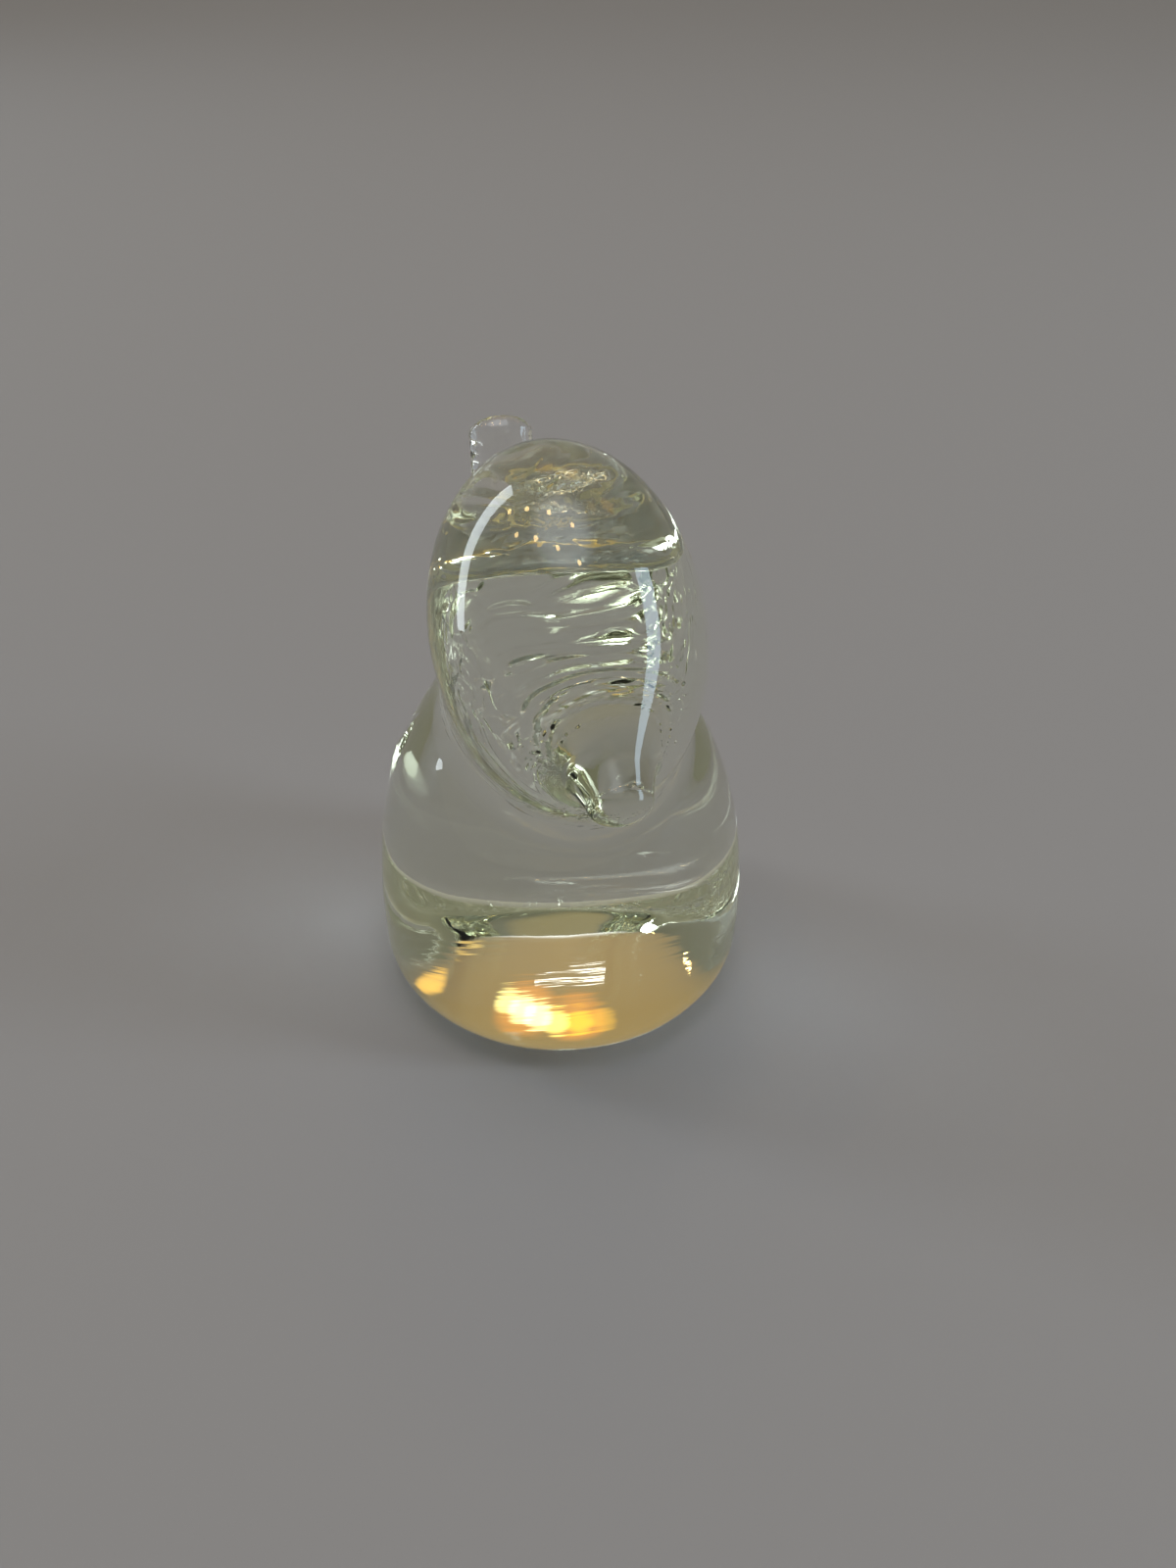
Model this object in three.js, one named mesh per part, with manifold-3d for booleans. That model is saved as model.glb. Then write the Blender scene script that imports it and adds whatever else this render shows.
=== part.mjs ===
// Clear glass bird paperweight: a round belly ground flat underneath, an egg-shaped head that
// looks down over the breast, a pinched beak and a raised tail.
// Millimetres, +Z up, the beak points along -Y. The origin is the centre of the ground foot.

import * as THREE from 'three';
import { mergeVertices } from 'three/addons/utils/BufferGeometryUtils.js';
import Module from 'manifold-3d';

// Belly: round about the upright axis, with a full underside that is ground off flat
const BELLY_RADIUS = 25;
const BELLY_LEVEL = 8.1;
const UNDERSIDE_CORE = 5;
const UNDERSIDE_EXPONENT = 2.9;
const FOOT_GROUND_OFF = 0.7;

// Swell of the back towards the tail, and the levels that it fades over
const BACK_SWELL = 5;
const BACK_LEVEL = 24;
const BACK_FADE = 16.5;

// Shoulder curve from the belly to the neck's hidden top inside the head
const SHOULDER_PULL = 28;
const THROAT_RADIUS = 16.7;
const THROAT_RISE = 32.1;
const NECK_SUNK = 12.6;

// Head: a round egg, its long axis tipped down towards the beak
const HEAD_RADIUS = 16;
const HEAD_HALF_LENGTH = 22.4;
const HEAD_TIP = 42.4;
const HEAD_FORWARD = 5.7;
const HEAD_RISE = 47.3;

// Weld between belly and head: a plane that rises towards the nape, under a soft fillet
const WELD_FILLET = 5;
const SEAM_DROP = 12.5;
const SEAM_TILT = 20;
const WELD_GAP = 0.3;

// Beak, drawn out of the face
const BEAK_DROOP = 17;
const BEAK_PROUD = 7;
const BEAK_ROOTED = 9;
const BEAK_ROOT_WIDTH = 18;
const BEAK_ROOT_DEPTH = 16;
const BEAK_TIP_WIDTH = 6.2;
const BEAK_TIP_DEPTH = 4.6;
const BEAK_TIP_ROUND = 2.4;
const BEAK_FLARE_EXPONENT = 1.2;

// Tail, drawn out of the back, raised and flattened to a blunt end
const TAIL_ROOT_LEVEL = 23;
const TAIL_RISE = 43;
const TAIL_PROUD = 11;
const TAIL_BOW = 6;
const TAIL_ROOT_WIDTH = 42;
const TAIL_ROOT_DEPTH = 37;
const TAIL_TIP_WIDTH = 9;
const TAIL_TIP_DEPTH = 5;
const TAIL_TIP_ROUND = 2.5;
const TAIL_FLARE_EXPONENT = 2;

// Facets
const PROFILE_STEPS = 120;
const TRUNK_SIDES = 56;
const FOOT_STEPS = 8;
const SHOULDER_STEPS = 30;
const CROWN_STEPS = 14;
const LIMB_SIDES = 28;
const LIMB_STEPS = 16;
const TIP_STEPS = 5;

const wasm = await Module();
wasm.setup();

// Solid from a geometry, with its seam vertices merged
function toSolid(geometry) {
  const bare = geometry.clone();
  bare.deleteAttribute('normal');
  bare.deleteAttribute('uv');
  const merged = mergeVertices(bare);
  return new wasm.Manifold(new wasm.Mesh({
    numProp: 3,
    vertProperties: new Float32Array(merged.attributes.position.array),
    triVerts: new Uint32Array(merged.index.array),
  }));
}

function toGeometry(solid) {
  const mesh = solid.getMesh();
  const geometry = new THREE.BufferGeometry();
  geometry.setAttribute('position', new THREE.BufferAttribute(mesh.vertProperties, 3));
  geometry.setIndex(new THREE.BufferAttribute(mesh.triVerts, 1));
  return geometry;
}

// Closed skin through rings of equal count, drawn to a point at each end
function loft(rings, start, end) {
  const count = rings[0].length;
  const points = [start, ...rings.flat(), end];
  const last = points.length - 1;
  const indices = [];
  for (let i = 0; i < count; i += 1) {
    const next = (i + 1) % count;
    indices.push(0, 1 + next, 1 + i);
    for (let ring = 0; ring < rings.length - 1; ring += 1) {
      const low = 1 + ring * count;
      const high = low + count;
      indices.push(low + i, low + next, high + next);
      indices.push(low + i, high + next, high + i);
    }
    const top = last - count;
    indices.push(last, top + i, top + next);
  }
  const geometry = new THREE.BufferGeometry().setFromPoints(points);
  geometry.setIndex(indices);
  return geometry;
}

// Egg: a unit ball stretched, tipped forward and set over the breast
const headTip = THREE.MathUtils.degToRad(HEAD_TIP);
const headCentre = new THREE.Vector3(0, -HEAD_FORWARD, BELLY_LEVEL + HEAD_RISE);
const headHeight = Math.hypot(HEAD_HALF_LENGTH * Math.sin(headTip), HEAD_RADIUS * Math.cos(headTip));
const crownShift = (HEAD_HALF_LENGTH ** 2 - HEAD_RADIUS ** 2) * Math.sin(2 * headTip) / (2 * headHeight);
const crown = headCentre.clone().add(new THREE.Vector3(0, crownShift, headHeight));
const toUnitBall = new THREE.Matrix4().compose(
  headCentre,
  new THREE.Quaternion().setFromAxisAngle(new THREE.Vector3(1, 0, 0), headTip),
  new THREE.Vector3(HEAD_RADIUS, HEAD_HALF_LENGTH, HEAD_RADIUS),
).invert();

// Distance from a point to the egg's skin along a line, zero where the line misses it
function headReach(origin, way) {
  const start = origin.clone().applyMatrix4(toUnitBall);
  const step = origin.clone().add(way).applyMatrix4(toUnitBall).sub(start);
  const a = step.dot(step);
  const b = start.dot(step);
  const inside = b * b - a * (start.dot(start) - 1);
  return inside > 0 ? (Math.sqrt(inside) - b) / a : 0;
}

const shoulder = new THREE.CubicBezierCurve(
  new THREE.Vector2(BELLY_RADIUS, BELLY_LEVEL),
  new THREE.Vector2(BELLY_RADIUS, BELLY_LEVEL + SHOULDER_PULL),
  new THREE.Vector2(THROAT_RADIUS, BELLY_LEVEL + THROAT_RISE),
  new THREE.Vector2(0, headCentre.z + NECK_SUNK),
).getPoints(PROFILE_STEPS);

// Radius of the belly and neck at a level: a superellipse underside, then the shoulder curve
function bellyRadius(level) {
  if (level <= BELLY_LEVEL) {
    const down = (BELLY_LEVEL - level) / (BELLY_LEVEL + FOOT_GROUND_OFF);
    const out = (1 - down ** UNDERSIDE_EXPONENT) ** (1 / UNDERSIDE_EXPONENT);
    return THREE.MathUtils.lerp(UNDERSIDE_CORE, BELLY_RADIUS, out);
  }
  const above = shoulder.findIndex((point) => point.y > level);
  if (above < 0) {
    return 0;
  }
  const high = shoulder[above];
  const low = shoulder[above - 1];
  return THREE.MathUtils.mapLinear(level, low.y, high.y, low.x, high.x);
}

// Level section of the belly: half a circle in front, half a swollen ellipse behind
function bellyReach(level, way) {
  const fade = Math.exp(-(((level - BACK_LEVEL) / BACK_FADE) ** 2));
  const swell = way.y > 0 ? 1 + (BACK_SWELL / BELLY_RADIUS) * fade : 1;
  return bellyRadius(level) / Math.hypot(way.x, way.y / swell);
}

// Larger of two reaches, filleted where they come close to each other
function filleted(a, b) {
  const share = THREE.MathUtils.clamp(1 / 2 + (a - b) / (2 * WELD_FILLET), 0, 1);
  return THREE.MathUtils.lerp(b, a, share) + WELD_FILLET * share * (1 - share);
}

// Level section through belly and head, about a middle that moves over to the crown
function trunkRing(level, grow) {
  const middle = crown.y * THREE.MathUtils.smoothstep(level, headCentre.z, crown.z);
  return Array.from({ length: TRUNK_SIDES }, (unused, i) => {
    const angle = (2 * Math.PI * i) / TRUNK_SIDES;
    const way = new THREE.Vector3(-Math.sin(angle), Math.cos(angle), 0);
    const origin = new THREE.Vector3(0, middle, level);
    const reach = filleted(bellyReach(level, way), headReach(origin, way)) + grow;
    return origin.addScaledVector(way, reach);
  });
}

function trunkSolid(grow = 0) {
  const levels = [];
  for (let i = 0; i < FOOT_STEPS; i += 1) {
    levels.push(BELLY_LEVEL * (i / FOOT_STEPS) ** 2);
  }
  for (let i = 0; i < SHOULDER_STEPS; i += 1) {
    levels.push(BELLY_LEVEL + (HEAD_RISE * i) / SHOULDER_STEPS);
  }
  for (let i = 0; i < CROWN_STEPS; i += 1) {
    levels.push(headCentre.z + headHeight * Math.sin(((Math.PI / 2) * i) / CROWN_STEPS));
  }
  const rings = levels.map((level) => trunkRing(level, grow));
  return toSolid(loft(rings, new THREE.Vector3(), crown));
}

// Everything above the weld plane, shifted along the plane's normal
function aboveSeam(shift) {
  const size = 4 * (HEAD_HALF_LENGTH + BELLY_RADIUS);
  const block = new THREE.BoxGeometry(size, size, size);
  block.translate(0, 0, size / 2 + shift);
  block.rotateX(THREE.MathUtils.degToRad(SEAM_TILT));
  block.translate(0, 0, headCentre.z - SEAM_DROP);
  return toSolid(block);
}

// Oval limb along a spine in the bird's upright middle plane: flared at the root, blunt at the tip
function limbSolid(spine, root, tip, tipRound, flare) {
  const roundShare = tipRound / spine.getLength();
  const stations = [];
  for (let i = 0; i < LIMB_STEPS; i += 1) {
    stations.push({ share: ((1 - roundShare) * i) / LIMB_STEPS, closing: 1 });
  }
  for (let i = 0; i < TIP_STEPS; i += 1) {
    const angle = (Math.PI / 2) * (i / TIP_STEPS);
    const share = 1 - roundShare * (1 - Math.sin(angle));
    stations.push({ share, closing: Math.sqrt(Math.cos(angle)) });
  }
  const across = new THREE.Vector3(1, 0, 0);
  const rings = stations.map(({ share, closing }) => {
    const centre = spine.getPointAt(share);
    const up = new THREE.Vector3().crossVectors(spine.getTangentAt(share), across);
    const size = new THREE.Vector2().lerpVectors(tip, root, (1 - share) ** flare);
    size.multiplyScalar(closing / 2);
    return Array.from({ length: LIMB_SIDES }, (unused, i) => {
      const angle = (2 * Math.PI * i) / LIMB_SIDES;
      const point = centre.clone().addScaledVector(across, size.x * Math.cos(angle));
      return point.addScaledVector(up, size.y * Math.sin(angle));
    });
  });
  return toSolid(loft(rings, spine.getPointAt(0), spine.getPointAt(1)));
}

function beakSolid() {
  const droop = THREE.MathUtils.degToRad(BEAK_DROOP);
  const way = new THREE.Vector3(0, -Math.cos(droop), -Math.sin(droop));
  const skin = headReach(headCentre, way);
  const root = headCentre.clone().addScaledVector(way, skin - BEAK_ROOTED);
  const tip = headCentre.clone().addScaledVector(way, skin + BEAK_PROUD);
  return limbSolid(
    new THREE.LineCurve3(root, tip),
    new THREE.Vector2(BEAK_ROOT_WIDTH, BEAK_ROOT_DEPTH),
    new THREE.Vector2(BEAK_TIP_WIDTH, BEAK_TIP_DEPTH),
    BEAK_TIP_ROUND,
    BEAK_FLARE_EXPONENT,
  );
}

function tailSolid() {
  const root = new THREE.Vector3(0, 0, TAIL_ROOT_LEVEL);
  const tip = new THREE.Vector3(0, BELLY_RADIUS + TAIL_PROUD, TAIL_ROOT_LEVEL + TAIL_RISE);
  const chord = tip.clone().sub(root).normalize();
  const below = new THREE.Vector3(0, chord.z, -chord.y);
  const bend = root.clone().lerp(tip, 1 / 2).addScaledVector(below, 2 * TAIL_BOW);
  return limbSolid(
    new THREE.QuadraticBezierCurve3(root, bend, tip),
    new THREE.Vector2(TAIL_ROOT_WIDTH, TAIL_ROOT_DEPTH),
    new THREE.Vector2(TAIL_TIP_WIDTH, TAIL_TIP_DEPTH),
    TAIL_TIP_ROUND,
    TAIL_FLARE_EXPONENT,
  );
}

const clearGlass = new THREE.MeshStandardMaterial({
  color: 0xdce6dc,
  roughness: 0.04,
  metalness: 0,
  transparent: true,
  opacity: 0.4,
});

function piece(name, solid) {
  const geometry = toGeometry(solid);
  geometry.computeVertexNormals();
  const mesh = new THREE.Mesh(geometry, clearGlass.clone());
  mesh.name = name;
  return mesh;
}

const trunk = trunkSolid();
const clearance = trunkSolid(WELD_GAP);

const bird = new THREE.Group();
bird.add(piece('body', trunk.subtract(aboveSeam(-WELD_GAP / 2))));
bird.add(piece('head', trunk.intersect(aboveSeam(WELD_GAP / 2))));
bird.add(piece('beak', beakSolid().subtract(clearance)));
bird.add(piece('tail', tailSolid().subtract(clearance)));

export default bird;
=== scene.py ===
"""Clear glass bird paperweight on a pale floor.

One continuous glass skin stands for the four CAD masses: the same belly, head, beak and tail,
melted into each other with soft fillets. Lengths are millimetres until the skin is built, and
metres in the materials, the lamps and the floor.
"""
import math

import bmesh
import bpy
import numpy as np
from mathutils import Matrix, Vector


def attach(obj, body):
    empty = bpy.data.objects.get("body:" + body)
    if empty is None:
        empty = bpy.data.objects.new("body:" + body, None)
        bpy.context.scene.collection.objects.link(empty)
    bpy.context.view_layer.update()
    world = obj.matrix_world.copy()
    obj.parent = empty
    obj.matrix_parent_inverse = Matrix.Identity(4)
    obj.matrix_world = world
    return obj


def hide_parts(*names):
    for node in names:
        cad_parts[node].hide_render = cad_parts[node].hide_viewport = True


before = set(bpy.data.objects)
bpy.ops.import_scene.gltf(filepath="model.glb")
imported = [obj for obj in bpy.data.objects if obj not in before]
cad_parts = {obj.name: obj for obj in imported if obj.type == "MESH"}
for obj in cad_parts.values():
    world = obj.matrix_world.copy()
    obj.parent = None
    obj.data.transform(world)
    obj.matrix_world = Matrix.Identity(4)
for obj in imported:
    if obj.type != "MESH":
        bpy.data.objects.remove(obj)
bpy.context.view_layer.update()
scene = bpy.context.scene
MM = 0.001

# Belly and hidden neck
BELLY_RADIUS = 25.0
BELLY_LEVEL = 8.1
UNDERSIDE_CORE = 5.0
UNDERSIDE_FULLNESS = 2.9
FOOT_CUT = 0.7
FOOT_EDGE = 0.3
BACK_STRETCH = 0.12
BACK_LEVEL = 30.0
BACK_SPREAD = 20.0
SHOULDER_PULL = 28.0
THROAT_RADIUS = 16.7
THROAT_LEVEL = 40.2
NECK_TOP = 68.0

# Head
HEAD_RADIUS = 16.0
HEAD_HALF_LENGTH = 22.4
HEAD_TIP = math.radians(42.4)
HEAD_CENTRE = np.array((0.0, -5.7, 55.4))

# Beak and tail: ends of the spine, half width and half depth at the root and the tip
BEAK_DROOP = math.radians(17)
BEAK_ROOT_REACH = 11.6
BEAK_TIP_REACH = 27.5
BEAK_ROOT = (9.0, 8.0)
BEAK_TIP = (3.1, 2.3)
BEAK_TIP_ROUND = 2.4
BEAK_FLARE = 1.2
BEAK_FIELD_UNTIL = -14.0
TAIL_START = np.array((0.0, 23.0))
TAIL_END = np.array((36.0, 66.0))
TAIL_BOW = 6.0
TAIL_ROOT = (21.0, 18.5)
TAIL_TIP = (4.5, 2.5)
TAIL_TIP_ROUND = 2.5
TAIL_FLARE = 2.0
TAIL_SHOWN_FROM = 0.25
TAIL_FIELD_FROM = 4.0

# Fillets between the masses
HEAD_FILLET = 5.0
TAIL_FILLET = 7.0
BEAK_FILLET = 3.0

# Hand-worked unevenness and drawn strokes on the back, only ever inwards. The strokes set in over
# two spans of y and one of z.
WOBBLE = 0.1
STROKE = 0.2
STROKES_OVER_HEAD = (1, 9)
STROKES_FULL = (12, 20)
STROKES_ABOVE = (22, 30)

# Making of the skin
PROFILE_STEPS = 400
TAIL_STEPS = 25
BEAK_STEPS = 5
ROUGH_TOP = 60
ROUGH_LEVELS = 40
ROUGH_SIDES = 64
ROUGH_UNDERCUT = 0.7
ROUGH_BALLS = 60
ROUGH_STEPS_TO_TIP = 0.2
VOXEL = 0.9
ROUGH_ROUNDS = 9
FINE_ROUNDS = 3
LONGEST_STEP = 0.6
PROBE = 0.01
LEAST_SLOPE = 1e-3
LEAST = 1e-6

# Glass: depths of its marks in metres, the spans of y and z that they set in or fade over, and the
# scale of the noise that draws them
GLASS_INDEX = 1.52
TINT = (0.89, 0.94, 0.70)
TINT_DENSITY = 8
MARK_DEPTH = 0.00026
MARK_TURN = (0, 0.12, 0)
MARK_SCALE = (900, 700, 700)
MARKS_BEHIND = (0.002, 0.012)
MARKS_ABOVE = (0.024, 0.030)
MARKS_BELOW = (0.050, 0.044)
MARKS_ON_HEAD = 0.4
BRUSH_DEPTH = 0.000013
BRUSH_TURN = (0, 0, 0.2)
BRUSH_SCALE = (80, 700, 700)
ON_FOOT = (0.0004, 0.0001)
ROLL_DEPTH = 0.0004
ROLL_STRENGTH = 0.15
ROLL_SCALE = 90
POLISHED = 0.004
GROUND = 0.04
FINISH_SCALE = 400

# Floor, a hair below the foot
FLOOR_SIZE = 8
FLOOR_LEVEL = -0.00005
FLOOR_COLOUR = (0.31, 0.315, 0.345)
FLOOR_ROUGHNESS = 0.7
FLOOR_GLOSS = 0.1

# Plain light by height: sine of the elevation, colour
SKY = (
    (0.0, (0.40, 0.385, 0.33)),
    (0.3, (0.21, 0.205, 0.155)),
    (0.75, (0.15, 0.145, 0.11)),
    (1.0, (0.24, 0.235, 0.21)),
)
# Soft studio glows: azimuth, elevation, core and edge radius in degrees, colour
GLOWS = (
    (0, 54, 15, 52, (0.25, 0.13, 0.0)),
    (22, 50.5, 2.5, 7.5, (0.55, 0.16, 0.0)),
    (6, 48.2, 2, 7, (0.55, 0.16, 0.0)),
    (12, 48.4, 1.2, 3.4, (1.4, 1.2, 0.3)),
    (17.5, 49.6, 1.2, 3.5, (1.7, 1.6, 0.8)),
    (23, 50.8, 1.2, 3.5, (1.7, 1.6, 0.8)),
    (28.5, 52, 1, 3.2, (1.4, 1.3, 0.5)),
    (5, 48.2, 1, 3.4, (0.8, 0.5, 0.0)),
    (-2, 48, 1, 3.4, (0.5, 0.25, 0.0)),
    (62, 51, 1.5, 5, (1.3, 0.7, 0.08)),
    (61, 63, 1, 4, (1.0, 0.65, 0.15)),
    (180, 62, 5, 18, (0.14, 0.09, 0.02)),
    (0, 90, 9, 24, (2.2, 2.4, 2.7)),
)

# Lamps, all at one distance and facing one point; left and right are the camera's
LAMP_DISTANCE = 1.5
LAMP_AIM = Vector((0, 0, 0.06))
WHITE = (1, 0.97, 0.95)
COOL = (0.85, 0.95, 1)
BLUISH = (0.62, 0.82, 1)
AMBER = (1, 0.66, 0.26)
# Strips: name, azimuth and elevation in degrees, size, power, colour
BACK_STRIP = ("strip_back", 8, 56.5, (0.36, 0.02), 0.04, WHITE)
# Upright ones, seen through the glass but not on its skin
SIDE_STRIPS = (
    ("strip_left", -55, 18, (0.3, 1.0), 6, COOL),
    ("strip_right", 112, 28, (0.3, 1.0), 6, COOL),
)
# Leaning ones that only glint on the skin, with the lean in degrees last
GLINTS = (
    ("glint_left", -54, 27, (0.24, 1.7), 9, COOL, 34),
    ("glint_right", 112, 23, (0.34, 1.25), 8, BLUISH, -43),
)
# Rows of small round lamps overhead
SPOT_ROWS = 2
SPOTS_IN_ROW = 4
SPOT_CORNER = Vector((-0.9, 0.3, 1.7))
SPOT_STEP = Vector((0.37, -0.25, 0))
SPOT_ROW_STEP = Vector((0, 0.5, 0))
SPOT_SIZE = (0.07, 0.07)
SPOT_POWER = 0.22

# Camera at the photograph's angle, its place in millimetres
CAMERA_TURN = math.radians(-12)
CAMERA_YAW = math.radians(-1.72)
CAMERA_PITCH = math.radians(37)
CAMERA_PLACE = Vector((0, -124.7, 122.65))
CAMERA_SENSOR = 36
CAMERA_LENS = 27
CAMERA_NEAREST = 0.005


def smooth_min(a, b, k):
    """The lesser of two fields, blended over a width k."""
    h = np.clip(0.5 + 0.5 * (b - a) / k, 0, 1)
    return b * (1 - h) + a * h - k * h * (1 - h)


def rising(v, low, high):
    """Smooth step from 0 at low to 1 at high."""
    t = np.clip((v - low) / (high - low), 0, 1)
    return t * t * (3 - 2 * t)


def wave(p, along, start):
    """Sine wave of so many radians a millimetre along x, y and z."""
    x, y, z = p.T
    return np.sin(along[0] * x + along[1] * y + along[2] * z + start)


def bezier(points, steps):
    """Bezier curve through its end points, as rows."""
    t = np.linspace(0, 1, steps)[:, None]
    rows = [np.asarray(q, float)[None] for q in points]
    while len(rows) > 1:
        rows = [a * (1 - t) + b * t for a, b in zip(rows, rows[1:])]
    return rows[0]


def belly_profile():
    """Level, radius and slope from the belly up to the neck's hidden top, lowest first."""
    shoulder = bezier(
        [
            (BELLY_RADIUS, BELLY_LEVEL),
            (BELLY_RADIUS, BELLY_LEVEL + SHOULDER_PULL),
            (THROAT_RADIUS, THROAT_LEVEL),
            (0, NECK_TOP),
        ],
        PROFILE_STEPS,
    )
    # A radius far below zero leaves no glass over the neck
    nothing_above = (-60, NECK_TOP + 15)
    r, z = np.concatenate([shoulder, [nothing_above]]).T
    return z, r, np.gradient(r, z)


def tail_spine():
    chord = (TAIL_END - TAIL_START) / np.linalg.norm(TAIL_END - TAIL_START)
    below = np.array((chord[1], -chord[0]))
    bend = (TAIL_START + TAIL_END) / 2 + 2 * TAIL_BOW * below
    return bezier([TAIL_START, bend, TAIL_END], TAIL_STEPS)


def beak_spine():
    way = np.array((-math.cos(BEAK_DROOP), -math.sin(BEAK_DROOP)))
    reach = np.linspace(BEAK_ROOT_REACH, BEAK_TIP_REACH, BEAK_STEPS)
    return HEAD_CENTRE[1:] + reach[:, None] * way


PROFILE_Z, PROFILE_R, PROFILE_SLOPE = belly_profile()
# Limbs: spine, root, tip, length of the rounded tip, flare, share of the spine that is left out
TAIL = (tail_spine(), TAIL_ROOT, TAIL_TIP, TAIL_TIP_ROUND, TAIL_FLARE, TAIL_SHOWN_FROM)
BEAK = (beak_spine(), BEAK_ROOT, BEAK_TIP, BEAK_TIP_ROUND, BEAK_FLARE, 0)


def belly_field(p):
    """Round shoulder above the belly's widest level, and a full rounded underside below it."""
    z = p[:, 2]
    stretch = 1 + BACK_STRETCH * np.exp(-(((z - BACK_LEVEL) / BACK_SPREAD) ** 2))
    rho = np.hypot(p[:, 0], np.where(p[:, 1] > 0, p[:, 1] / stretch, p[:, 1]))
    r = np.interp(z, PROFILE_Z, PROFILE_R)
    slope = np.interp(z, PROFILE_Z, PROFILE_SLOPE)
    shoulder = (rho - r) / np.sqrt(1 + slope**2)
    n = UNDERSIDE_FULLNESS
    wide, deep = BELLY_RADIUS - UNDERSIDE_CORE, BELLY_LEVEL + FOOT_CUT
    u = np.maximum(rho - UNDERSIDE_CORE, 0) / wide
    v = np.maximum(BELLY_LEVEL - z, 0) / deep
    k = np.maximum((u**n + v**n) ** (1 / n), LEAST_SLOPE)
    lean = k ** (1 - n) * np.hypot(u ** (n - 1) / wide, v ** (n - 1) / deep)
    return np.where(z > BELLY_LEVEL, shoulder, (k - 1) / np.maximum(lean, LEAST_SLOPE))


def oval_field(u, w):
    """Distance to an ellipsoid, roughly, from points over its radii once, u, and twice, w."""
    k0 = np.linalg.norm(u, axis=1)
    k1 = np.linalg.norm(w, axis=1)
    return k0 * (k0 - 1) / np.maximum(k1, LEAST)


def head_field(p):
    """Egg tipped forward."""
    q = p - HEAD_CENTRE
    c, s = math.cos(HEAD_TIP), math.sin(HEAD_TIP)
    along = c * q[:, 1] + s * q[:, 2]
    up = -s * q[:, 1] + c * q[:, 2]
    radii = np.array((HEAD_RADIUS, HEAD_HALF_LENGTH, HEAD_RADIUS))
    u = np.stack([q[:, 0], along, up], 1)
    return oval_field(u / radii, u / radii**2)


def limb_field(p, spine, root, tip, tip_round, flare, start):
    """Oval limb along a spine of (y, z) points, closed at the tip by half an ellipsoid."""
    step = np.linalg.norm(np.diff(spine, axis=0), axis=1)
    run = np.concatenate([[0], np.cumsum(step)])
    total = run[-1]
    end = total - tip_round
    best = np.full(len(p), np.inf)
    share, beyond, aside = np.zeros((3, len(p)))
    for a, b, r0, length in zip(spine, spine[1:], run, step):
        first = max(start * total - r0, 0)
        last = min(r0 + length, end) - r0
        if last <= 0:
            break
        if first > last:
            continue
        way = (b - a) / length
        q = p[:, 1:] - a
        t = q @ way
        s = np.clip(t, first, last)
        side = q @ np.array((-way[1], way[0]))
        past = np.maximum(t - s, 0) if r0 + length >= end else np.abs(t - s)
        d = np.hypot(t - s, side)
        near = d < best
        best = np.where(near, d, best)
        share = np.where(near, (r0 + s) / total, share)
        beyond = np.where(near, past, beyond)
        aside = np.where(near, side, aside)
    grow = (1 - share) ** flare
    wide, deep = (t + (r - t) * grow for r, t in zip(root, tip))
    radii = np.stack([wide, deep, np.full_like(wide, tip_round)], 1)
    u = np.stack([p[:, 0], aside, beyond], 1) / radii
    return oval_field(u, u / radii)


def wobble(p):
    """Slow waves left by hand working, between 0 and 1."""
    a = wave(p, (0.31, 0.23, 0.41), 0.6)
    b = wave(p, (-0.37, 0.29, -0.17), 2.1)
    c = wave(p, (0.19, -0.43, 0.33), 4.0)
    return 0.5 + (a + b + c) / 6


def strokes(p):
    """Strokes left across the back of the head, the nape and the tail's root, between 0 and 1."""
    x, y, z = p.T
    warp = wave(p, (0.21, 0, 0.11), 0.4) + 0.6 * wave(p, (-0.34, 0.16, 0), 1.9)
    up = 2.3 * z + 1.3 * y + 1.7 * warp
    broken = 0.5 + 0.5 * np.sin(0.42 * x + 0.9 * warp + 0.31 * z)
    waves = np.sin(up) * broken + 0.5 * np.sin(1.73 * up + 0.5 * x) * (1 - broken)
    patchy = 0.5 + 0.5 * wave(p, (0.35, 0, 0.55), 1.3)
    behind = rising(y, *STROKES_OVER_HEAD) * (0.5 + 0.5 * rising(y, *STROKES_FULL))
    return behind * rising(z, *STROKES_ABOVE) * (0.5 + patchy * waves / 3)


def field(p):
    """Signed distance to the glass, roughly: below zero inside."""
    f = smooth_min(belly_field(p), head_field(p), HEAD_FILLET)
    for limb, fillet, near in (
        (TAIL, TAIL_FILLET, p[:, 1] > TAIL_FIELD_FROM),
        (BEAK, BEAK_FILLET, p[:, 1] < BEAK_FIELD_UNTIL),
    ):
        f[near] = smooth_min(f[near], limb_field(p[near], *limb), fillet)
    f = f + WOBBLE * wobble(p) + STROKE * strokes(p)
    return -smooth_min(-f, p[:, 2], FOOT_EDGE)


def gradient(p):
    g = np.empty_like(p)
    for i, d in enumerate(PROBE * np.eye(3)):
        g[:, i] = (field(p + d) - field(p - d)) / (2 * PROBE)
    return g


def settle(p, rounds):
    """Moves points along the gradient onto the skin."""
    for _ in range(rounds):
        g = gradient(p)
        step = field(p)[:, None] * g / np.maximum((g * g).sum(1), LEAST_SLOPE)[:, None]
        size = np.linalg.norm(step, axis=1, keepdims=True)
        p = p - step * np.minimum(1, LONGEST_STEP / np.maximum(size, LEAST))
    return p


def coordinates(mesh):
    co = np.empty(len(mesh.vertices) * 3)
    mesh.vertices.foreach_get("co", co)
    return co.reshape(-1, 3)


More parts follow.
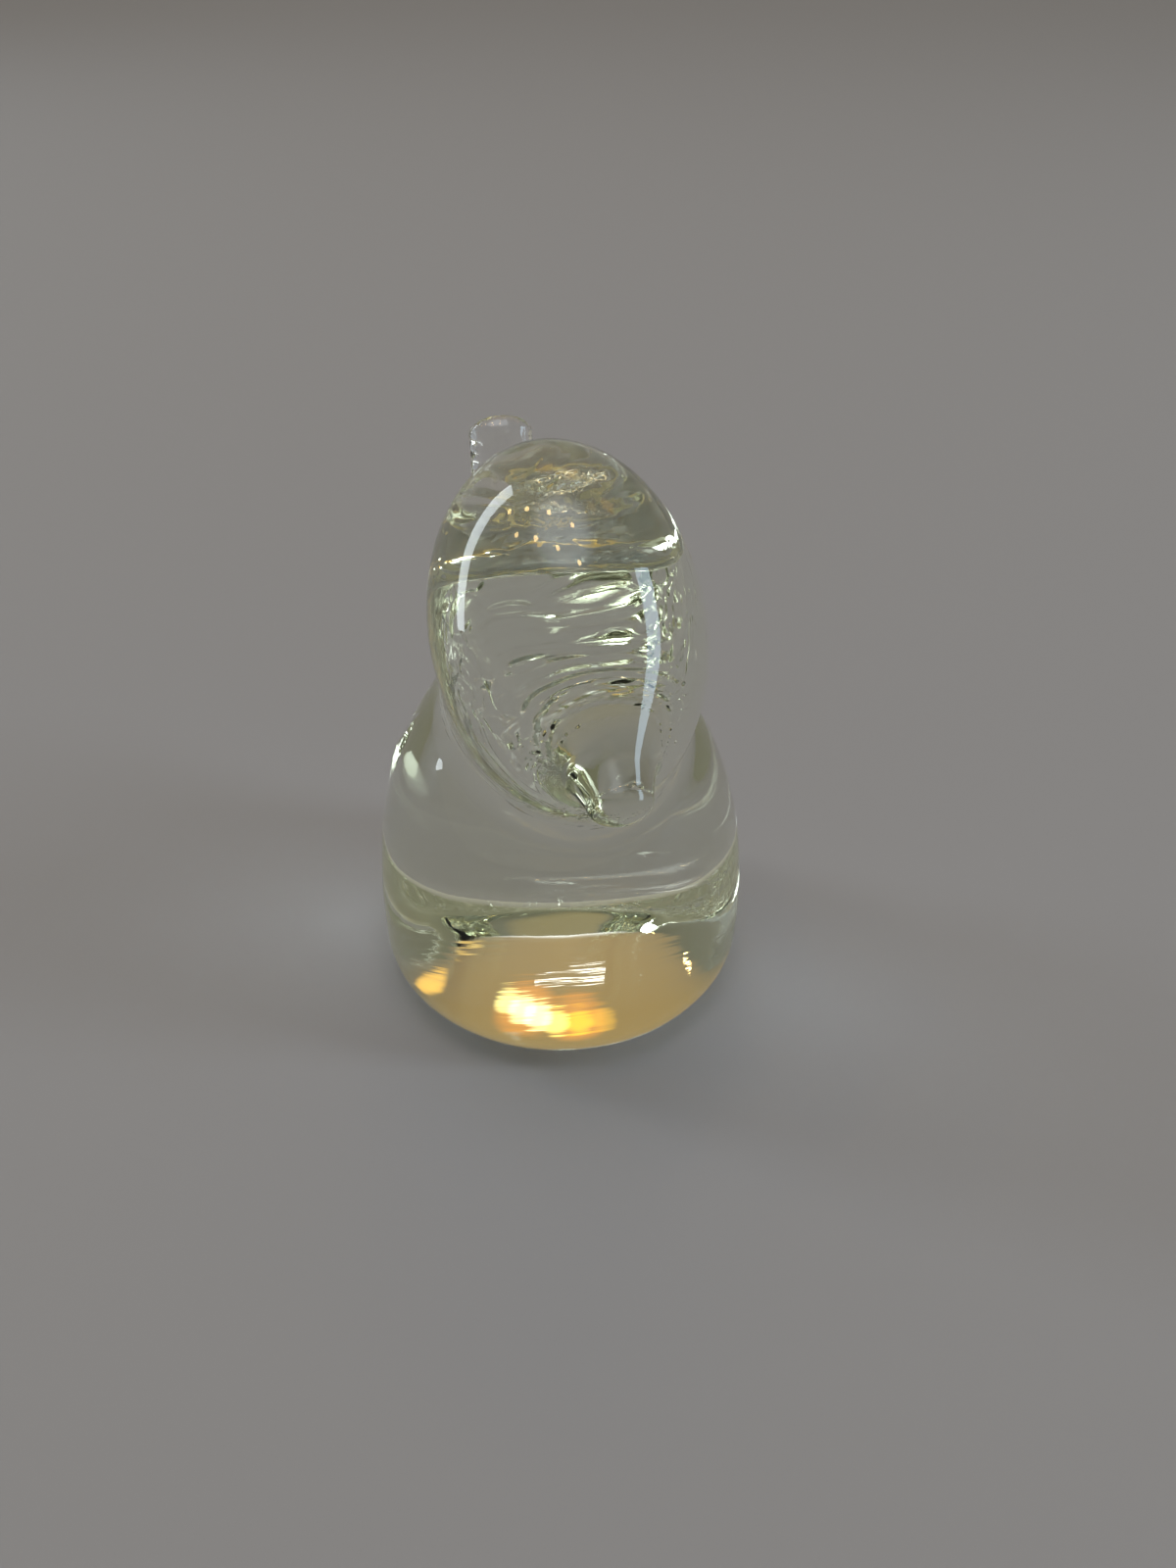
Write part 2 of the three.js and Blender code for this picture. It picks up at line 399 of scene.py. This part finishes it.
def baked(obj, modifier, **settings):
    """Applies one modifier and gives the object the result as its mesh."""
    m = obj.modifiers.new("m", modifier)
    for key, value in settings.items():
        setattr(m, key, value)
    made = bpy.data.meshes.new_from_object(
        obj.evaluated_get(bpy.context.evaluated_depsgraph_get())
    )
    obj.modifiers.clear()
    old = obj.data
    obj.data = made
    bpy.data.meshes.remove(old)


def rough_belly(bm):
    """Closed stack of rings."""
    rings = []
    for z in np.linspace(0, ROUGH_TOP, ROUGH_LEVELS):
        r = float(np.interp(z, PROFILE_Z, PROFILE_R)) - max(BELLY_LEVEL - z, 0) * ROUGH_UNDERCUT
        ring = [
            bm.verts.new((r * math.cos(t), r * math.sin(t), z))
            for t in np.linspace(0, 2 * math.pi, ROUGH_SIDES, endpoint=False)
        ]
        rings.append(ring)
    for low, high in zip(rings, rings[1:]):
        for i in range(ROUGH_SIDES):
            j = (i + 1) % ROUGH_SIDES
            bm.faces.new((low[i], low[j], high[j], high[i]))
    bm.faces.new(rings[0][::-1])
    bm.faces.new(rings[-1])


def rough_limb(bm, spine, root, tip, flare, start):
    """Row of balls along the spine, to just short of its tip."""
    last = len(spine) - 1
    for m in np.linspace(start * last, last - ROUGH_STEPS_TO_TIP, ROUGH_BALLS):
        y, z = (np.interp(m, np.arange(len(spine)), spine[:, i]) for i in (0, 1))
        grow = (1 - m / last) ** flare
        wide, deep = (t + (r - t) * grow for r, t in zip(root, tip))
        place = Matrix.Translation((0, y, z)) @ Matrix.Diagonal((wide, deep, deep, 1))
        bmesh.ops.create_icosphere(bm, subdivisions=2, radius=1, matrix=place)


def rough_shape():
    """Overlapping balls and rings that fill the bird roughly."""
    bm = bmesh.new()
    rough_belly(bm)
    egg = (
        Matrix.Translation(Vector(HEAD_CENTRE))
        @ Matrix.Rotation(HEAD_TIP, 4, "X")
        @ Matrix.Diagonal((HEAD_RADIUS, HEAD_HALF_LENGTH, HEAD_RADIUS, 1))
    )
    bmesh.ops.create_icosphere(bm, subdivisions=4, radius=1, matrix=egg)
    for spine, root, tip, _, flare, start in (TAIL, BEAK):
        rough_limb(bm, spine, root, tip, flare, start)
    mesh = bpy.data.meshes.new("bird")
    bm.to_mesh(mesh)
    bm.free()
    return mesh


def glass_skin():
    """Remeshed rough shape, settled onto the field and smoothed once."""
    obj = bpy.data.objects.new("bird", rough_shape())
    scene.collection.objects.link(obj)
    baked(obj, "REMESH", mode="VOXEL", voxel_size=VOXEL, use_smooth_shade=True)
    p = settle(coordinates(obj.data), ROUGH_ROUNDS)
    obj.data.vertices.foreach_set("co", p.ravel())
    obj.data.update()
    baked(obj, "SUBSURF", levels=1)
    p = settle(coordinates(obj.data), FINE_ROUNDS)
    normals = gradient(p)
    normals /= np.linalg.norm(normals, axis=1, keepdims=True)
    mesh = obj.data
    mesh.vertices.foreach_set("co", (p * MM).ravel())
    mesh.update()
    mesh.polygons.foreach_set("use_smooth", np.ones(len(mesh.polygons), bool))
    mesh.normals_split_custom_set_from_vertices(normals)
    return obj


def shader_node(tree, kind, inputs, **settings):
    """Adds a shader node; an input takes a socket that is linked or a value that is set."""
    made = tree.nodes.new(kind)
    for name, value in settings.items():
        setattr(made, name, value)
    for name, value in inputs.items():
        if isinstance(value, bpy.types.NodeSocket):
            tree.links.new(value, made.inputs[name])
        else:
            made.inputs[name].default_value = value
    return made


def faded(tree, value, span, to=(0, 1), kind="SMOOTHSTEP"):
    """Takes a value over a span to the range in to."""
    limits = {"From Min": span[0], "From Max": span[1], "To Min": to[0], "To Max": to[1]}
    made = shader_node(
        tree, "ShaderNodeMapRange", {"Value": value, **limits}, interpolation_type=kind
    )
    return made.outputs["Result"]


def product(tree, a, b):
    return shader_node(tree, "ShaderNodeMath", {0: a, 1: b}, operation="MULTIPLY").outputs["Value"]


def noise(tree, place, scale, detail, distortion=0):
    inputs = {"Vector": place, "Scale": scale, "Detail": detail, "Distortion": distortion}
    return shader_node(tree, "ShaderNodeTexNoise", inputs).outputs["Fac"]


def drawn_noise(tree, place, turn, scale, detail, distortion=0):
    """Noise stretched along turned axes."""
    inputs = {"Vector": place, "Rotation": turn, "Scale": scale}
    stretched = shader_node(tree, "ShaderNodeMapping", inputs).outputs["Vector"]
    return noise(tree, stretched, 1, detail, distortion)


def bump(tree, height, depth, strength, over=None):
    """Normal of a relief, laid over the normal of another one."""
    inputs = {"Height": height, "Distance": depth, "Strength": strength}
    if over is not None:
        inputs["Normal"] = over
    return shader_node(tree, "ShaderNodeBump", inputs).outputs["Normal"]


def clear_glass():
    mat = bpy.data.materials.new("clear_glass")
    mat.use_nodes = True
    tree = mat.node_tree
    tree.nodes.clear()
    place = shader_node(tree, "ShaderNodeTexCoord", {}).outputs["Object"]
    cut = shader_node(tree, "ShaderNodeSeparateXYZ", {"Vector": place}).outputs

    # Drawn strokes where the glass was pulled: the nape and the tail, faint on the head's back
    pulled = faded(tree, cut["Y"], MARKS_BEHIND)
    pulled = product(tree, pulled, faded(tree, cut["Z"], MARKS_ABOVE))
    pulled = product(tree, pulled, faded(tree, cut["Z"], MARKS_BELOW, to=(MARKS_ON_HEAD, 1)))
    streaks = drawn_noise(tree, place, MARK_TURN, MARK_SCALE, detail=1, distortion=0.8)
    normal = bump(tree, streaks, MARK_DEPTH, pulled)

    # Brush marks of the grinding wheel on the foot
    brushed = drawn_noise(tree, place, BRUSH_TURN, BRUSH_SCALE, detail=2)
    below = faded(tree, cut["Z"], ON_FOOT, kind="LINEAR")
    normal = bump(tree, brushed, BRUSH_DEPTH, below, normal)

    # Faint roll of the fire-polished skin
    waves = noise(tree, place, ROLL_SCALE, detail=1.5)
    normal = bump(tree, waves, ROLL_DEPTH, ROLL_STRENGTH, normal)

    # Fire-polished above, finely ground on the foot
    finish = faded(tree, cut["Z"], ON_FOOT, to=(POLISHED, GROUND), kind="LINEAR")
    rough = product(tree, noise(tree, place, FINISH_SCALE, detail=2), finish)

    look = {
        "Base Color": (1, 1, 1, 1),
        "Transmission Weight": 1,
        "IOR": GLASS_INDEX,
        "Roughness": rough,
        "Normal": normal,
    }
    glass = shader_node(tree, "ShaderNodeBsdfPrincipled", look).outputs["BSDF"]
    tint = {"Color": (*TINT, 1), "Density": TINT_DENSITY}
    inside = shader_node(tree, "ShaderNodeVolumeAbsorption", tint).outputs["Volume"]
    shader_node(tree, "ShaderNodeOutputMaterial", {"Surface": glass, "Volume": inside})
    return mat


def pale_floor():
    bpy.ops.mesh.primitive_plane_add(size=FLOOR_SIZE, location=(0, 0, FLOOR_LEVEL))
    floor = bpy.context.object
    floor.name = "floor"
    mat = bpy.data.materials.new("floor")
    mat.use_nodes = True
    paint = mat.node_tree.nodes["Principled BSDF"]
    paint.inputs["Base Color"].default_value = (*FLOOR_COLOUR, 1)
    paint.inputs["Roughness"].default_value = FLOOR_ROUGHNESS
    paint.inputs["Specular IOR Level"].default_value = FLOOR_GLOSS
    floor.data.materials.append(mat)
    return floor


def heading(azimuth, elevation):
    """Unit vector from degrees; azimuth 0 is behind the bird, 90 is on its own left, +X."""
    a, e = math.radians(azimuth), math.radians(elevation)
    return (math.sin(a) * math.cos(e), math.cos(a) * math.cos(e), math.sin(e))


def studio():
    """World of plain light by height with soft glows added."""
    world = bpy.data.worlds.new("studio")
    world.use_nodes = True
    scene.world = world
    tree = world.node_tree
    way = shader_node(tree, "ShaderNodeTexCoord", {}).outputs["Generated"]
    height = shader_node(tree, "ShaderNodeSeparateXYZ", {"Vector": way}).outputs["Z"]
    ramp = shader_node(tree, "ShaderNodeValToRGB", {"Fac": height})
    stops = ramp.color_ramp.elements
    while len(stops) < len(SKY):
        stops.new(0.5)
    for stop, (level, colour) in zip(stops, SKY):
        stop.position = level
        stop.color = (*colour, 1)
    light = ramp.outputs["Color"]
    for azimuth, elevation, core, edge, colour in GLOWS:
        ways = {0: way, 1: heading(azimuth, elevation)}
        facing = shader_node(tree, "ShaderNodeVectorMath", ways, operation="DOT_PRODUCT")
        span = (math.cos(math.radians(edge)), math.cos(math.radians(core)))
        share = faded(tree, facing.outputs["Value"], span)
        mix = {"Fac": share, "Color1": light, "Color2": (*colour, 1)}
        light = shader_node(tree, "ShaderNodeMixRGB", mix, blend_type="ADD").outputs["Color"]
    tree.links.new(light, tree.nodes["Background"].inputs["Color"])


def lamp(name, way, size, power, colour):
    """Area lamp along a direction from the bird, facing its head."""
    data = bpy.data.lights.new(name, "AREA")
    data.shape = "RECTANGLE"
    data.size, data.size_y = size
    data.energy = power
    data.color = colour
    obj = bpy.data.objects.new(name, data)
    obj.location = LAMP_DISTANCE * Vector(way)
    obj.rotation_euler = (LAMP_AIM - obj.location).to_track_quat("-Z", "Y").to_euler()
    scene.collection.objects.link(obj)
    return obj


def strip_lamp(name, azimuth, elevation, size, power, colour):
    return lamp(name, heading(azimuth, elevation), size, power, colour)


def lamps():
    strip_lamp(*BACK_STRIP)
    for strip in SIDE_STRIPS:
        strip_lamp(*strip).visible_glossy = False
    for *strip, lean in GLINTS:
        glint = strip_lamp(*strip)
        glint.rotation_euler.rotate_axis("Z", math.radians(lean))
        glint.visible_transmission = False
        glint.visible_diffuse = False
    for row in range(SPOT_ROWS):
        for place in range(SPOTS_IN_ROW):
            way = (SPOT_CORNER + row * SPOT_ROW_STEP + place * SPOT_STEP).normalized()
            spot = lamp(f"spot_{row}_{place}", way, SPOT_SIZE, SPOT_POWER, AMBER)
            spot.data.shape = "ELLIPSE"


def photo_camera():
    turn = Matrix.Rotation(CAMERA_TURN, 3, "Z")
    yaw = Matrix.Rotation(CAMERA_YAW, 3, "Z")
    data = bpy.data.cameras.new("camera")
    data.sensor_width = CAMERA_SENSOR
    data.lens = CAMERA_LENS
    data.clip_start = CAMERA_NEAREST
    cam = bpy.data.objects.new("camera", data)
    cam.location = turn @ CAMERA_PLACE * MM
    ahead = turn @ yaw @ Vector((0, math.cos(CAMERA_PITCH), -math.sin(CAMERA_PITCH)))
    cam.rotation_euler = ahead.to_track_quat("-Z", "Y").to_euler()
    scene.collection.objects.link(cam)
    scene.camera = cam


bird = glass_skin()
bird.data.materials.append(clear_glass())
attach(bird, "root")
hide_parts("body", "head", "beak", "tail")
pale_floor()
studio()
lamps()
photo_camera()

scene.view_settings.view_transform = "Standard"
# Light crosses the glass many times
scene.cycles.max_bounces = 24
scene.cycles.transmission_bounces = 24
scene.cycles.glossy_bounces = 12
